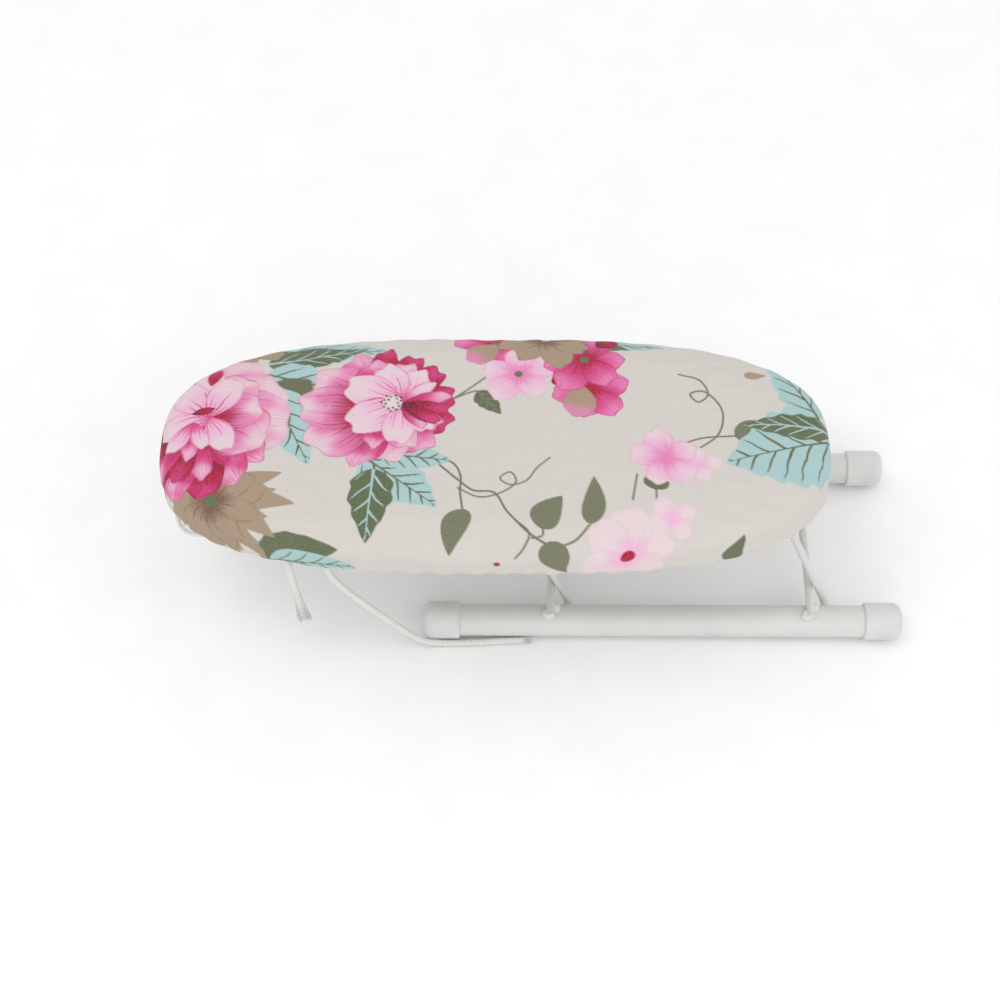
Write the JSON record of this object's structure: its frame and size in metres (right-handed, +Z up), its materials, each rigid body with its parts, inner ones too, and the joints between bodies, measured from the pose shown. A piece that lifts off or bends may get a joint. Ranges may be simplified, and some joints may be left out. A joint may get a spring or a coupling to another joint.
{
  "type": "sleeve ironing board",
  "caption": "Small folding sleeve ironing board: an oval padded board in a printed cotton cover on leaning wire legs and capped tube feet.",
  "frame": {"origin": "on the table, under the middle of the whole object's box", "axes": "+X along the board towards the end where the feet stand out, +Y to the back of the board, +Z up"},
  "size_m": [0.292, 0.11, 0.0775],
  "materials": {
    "painted_steel": "satin white paint",
    "bare_steel": "plain",
    "cap_plastic": "matt",
    "felt": "needled felt",
    "foam": "open-cell foam",
    "printed_cotton": "plain weave, printed",
    "drawstring": "braided cotton"
  },
  "bodies": {
    "base": {"front_foot_tube": "painted_steel", "rear_foot_tube": "painted_steel", "front_left_cap": "cap_plastic", "front_right_cap": "cap_plastic", "rear_left_cap": "cap_plastic", "rear_right_cap": "cap_plastic", "left_cross_rod": "painted_steel", "right_cross_rod": "painted_steel"},
    "left_leg": {"left_leg_wire": "painted_steel"},
    "right_leg": {"right_leg_wire": "painted_steel"},
    "board": {"board_panel": "painted_steel", "panel_rim": "painted_steel", "left_front_clip": "painted_steel", "left_rear_clip": "painted_steel", "right_front_clip": "painted_steel", "right_rear_clip": "painted_steel", "clip_rivets": "bare_steel", "felt_underlay": "felt", "foam_pad": "foam", "fabric_cover": "printed_cotton", "hem_casing": "printed_cotton", "casing_cord": "drawstring", "long_tail": "drawstring", "short_tail": "drawstring", "end_loop": "drawstring"}
  },
  "joints": [
    {"name": "left_leg_fold", "type": "hinge", "parent": "base", "child": "left_leg", "pos_m": [0.0135, 0, 0.00725], "axis": [0, 1, 0], "range_deg": [0, 97], "deforming": ["long_tail", "short_tail"]},
    {"name": "board_hinge", "type": "hinge", "parent": "left_leg", "child": "board", "pos_m": [-0.01128, 0, 0.0629], "axis": [0, 1, 0], "range_deg": [-97, 0]},
    {"name": "right_leg_fold", "type": "hinge", "parent": "base", "child": "right_leg", "pos_m": [0.1165, 0, 0.00725], "axis": [0, 1, 0], "range_deg": [0, 97]}
  ],
  "couplings": [
    {"joint": "board_hinge", "follows": "left_leg_fold", "ratio": -1},
    {"joint": "right_leg_fold", "follows": "left_leg_fold", "ratio": 1}
  ]
}
